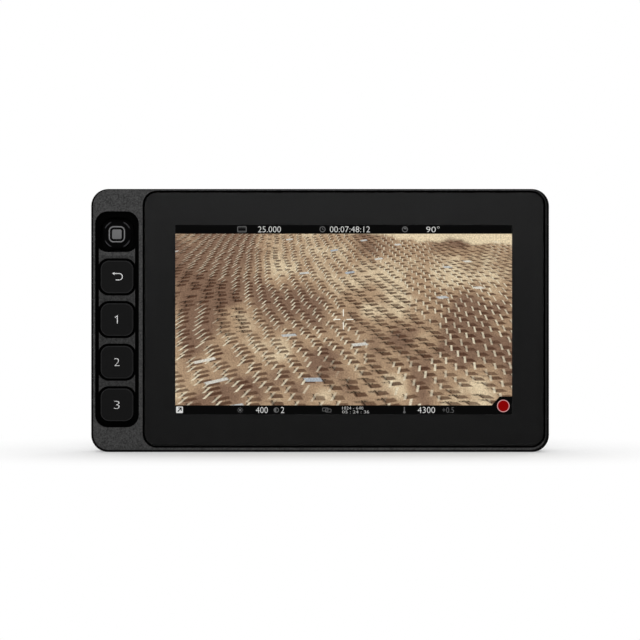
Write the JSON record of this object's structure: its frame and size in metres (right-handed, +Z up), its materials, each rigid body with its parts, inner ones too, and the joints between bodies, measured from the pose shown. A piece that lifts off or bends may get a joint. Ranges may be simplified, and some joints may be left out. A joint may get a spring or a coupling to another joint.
{
  "type": "field monitor",
  "caption": "Compact on-camera field monitor: flat glass front with a side column of keys and a joystick, finned rear with a battery plate, side ports, threaded mounts.",
  "frame": {"origin": "centre of the bounding box, on the surface the monitor stands on", "axes": "+X to the right of someone facing the screen, +Y from the screen to the rear, +Z up"},
  "size_m": [0.1504, 0.03, 0.0864],
  "materials": {
    "frame_metal": "fine-grained black powder coat on aluminium",
    "cover_glass": "gloss glass, printed black behind its border",
    "adhesive": "black tape",
    "display": "lit display behind the glass",
    "white_plastic": "white diffusing plastic",
    "tray_metal": "plain sheet metal",
    "key_plastic": "fine matte black plastic",
    "inner_plastic": "moulded black plastic",
    "seal_rubber": "black silicone",
    "tip_plastic": "pale grey satin plastic",
    "board": "circuit board",
    "chip": "black chip package",
    "thermal_pad": "soft pad",
    "ribbon": "amber flexible circuit",
    "nickel": "bright nickel plate",
    "insulator": "white insulator",
    "gold": "gold plate",
    "black_metal": "black plated brass",
    "black_plastic": "moulded black plastic, fine grain",
    "lead": "insulated wire",
    "steel": "plain machined steel",
    "screw": "black zinc screws"
  },
  "bodies": {
    "root": {"backlight_tray": "tray_metal", "battery_contacts": "gold", "battery_leads": "lead", "battery_plate": "black_plastic", "board_chips": "chip", "bottom_mount_block": "steel", "card_reader": "nickel", "cover_glass": "cover_glass", "front_frame": "frame_metal", "glass_adhesive": "adhesive", "hdmi_ports": "nickel", "headphone_jack": "inner_plastic", "heat_spreader": "tray_metal", "housing_gasket": "seal_rubber", "housing_screws": "screw", "joystick_cover": "nickel", "joystick_switch": "inner_plastic", "key_board": "board", "key_switches": "inner_plastic", "keypad_seal": "seal_rubber", "latch_bracket": "tray_metal", "latch_spring": "tray_metal", "lcd_cell": "display", "led_bar": "white_plastic", "light_guide": "white_plastic", "main_board": "board", "plate_screws": "screw", "port_tongues": "inner_plastic", "power_pins": "gold", "power_socket": "black_metal", "power_socket_nut": "black_metal", "power_switch": "inner_plastic", "processor": "chip", "rear_housing": "frame_metal", "ribbon_sockets": "inner_plastic", "ribbons": "ribbon", "sdi_contacts": "gold", "sdi_in_jack": "nickel", "sdi_insulators": "insulator", "sdi_leads": "lead", "sdi_nuts": "nickel", "sdi_out_jack": "nickel", "small_screws": "screw", "thermal_pad": "thermal_pad", "top_mount_block": "steel", "usb_port": "nickel"},
    "function_key_1": {"function_key_1": "key_plastic", "function_key_1_pusher": "inner_plastic"},
    "function_key_2": {"function_key_2": "key_plastic", "function_key_2_pusher": "inner_plastic"},
    "function_key_3": {"function_key_3": "key_plastic", "function_key_3_pusher": "inner_plastic"},
    "back_key": {"back_key": "key_plastic", "back_key_pusher": "inner_plastic"},
    "joystick_yoke": {"joystick_yoke": "nickel"},
    "joystick_hub": {"joystick_hub": "nickel"},
    "joystick": {"joystick_cap": "key_plastic", "joystick_tip": "tip_plastic"},
    "battery_latch": {"battery_latch": "black_plastic"},
    "power_button": {"power_button": "black_plastic"}
  },
  "joints": [
    {"name": "function_key_1_press", "type": "slide", "parent": "root", "child": "function_key_1", "axis": [0, 1, 0], "range_m": [0, 0.00045], "stiffness_N_per_m": 1500},
    {"name": "function_key_2_press", "type": "slide", "parent": "root", "child": "function_key_2", "axis": [0, 1, 0], "range_m": [0, 0.00045], "stiffness_N_per_m": 1500},
    {"name": "function_key_3_press", "type": "slide", "parent": "root", "child": "function_key_3", "axis": [0, 1, 0], "range_m": [0, 0.00045], "stiffness_N_per_m": 1500},
    {"name": "back_key_press", "type": "slide", "parent": "root", "child": "back_key", "axis": [0, 1, 0], "range_m": [0, 0.00045], "stiffness_N_per_m": 1500},
    {"name": "joystick_up_down", "type": "hinge", "parent": "root", "child": "joystick_yoke", "pos_m": [-0.0667, -0.0094, 0.0715], "axis": [1, 0, 0], "range_deg": [-7, 7], "stiffness_Nm_per_rad": 0.02},
    {"name": "joystick_left_right", "type": "hinge", "parent": "joystick_yoke", "child": "joystick_hub", "pos_m": [-0.0667, -0.0094, 0.0715], "axis": [0, 0, 1], "range_deg": [-7, 7], "stiffness_Nm_per_rad": 0.02},
    {"name": "joystick_press", "type": "slide", "parent": "joystick_hub", "child": "joystick", "axis": [0, 1, 0], "range_m": [0, 0.0004], "stiffness_N_per_m": 1500},
    {"name": "battery_release", "type": "slide", "parent": "root", "child": "battery_latch", "axis": [0, -1, 0], "range_m": [0, 0.002], "stiffness_N_per_m": 900, "springref_m": -0.001, "deforming": ["latch_spring"]},
    {"name": "power_button_press", "type": "slide", "parent": "root", "child": "power_button", "axis": [1, 0, 0], "range_m": [0, 0.0004], "stiffness_N_per_m": 1500}
  ]
}
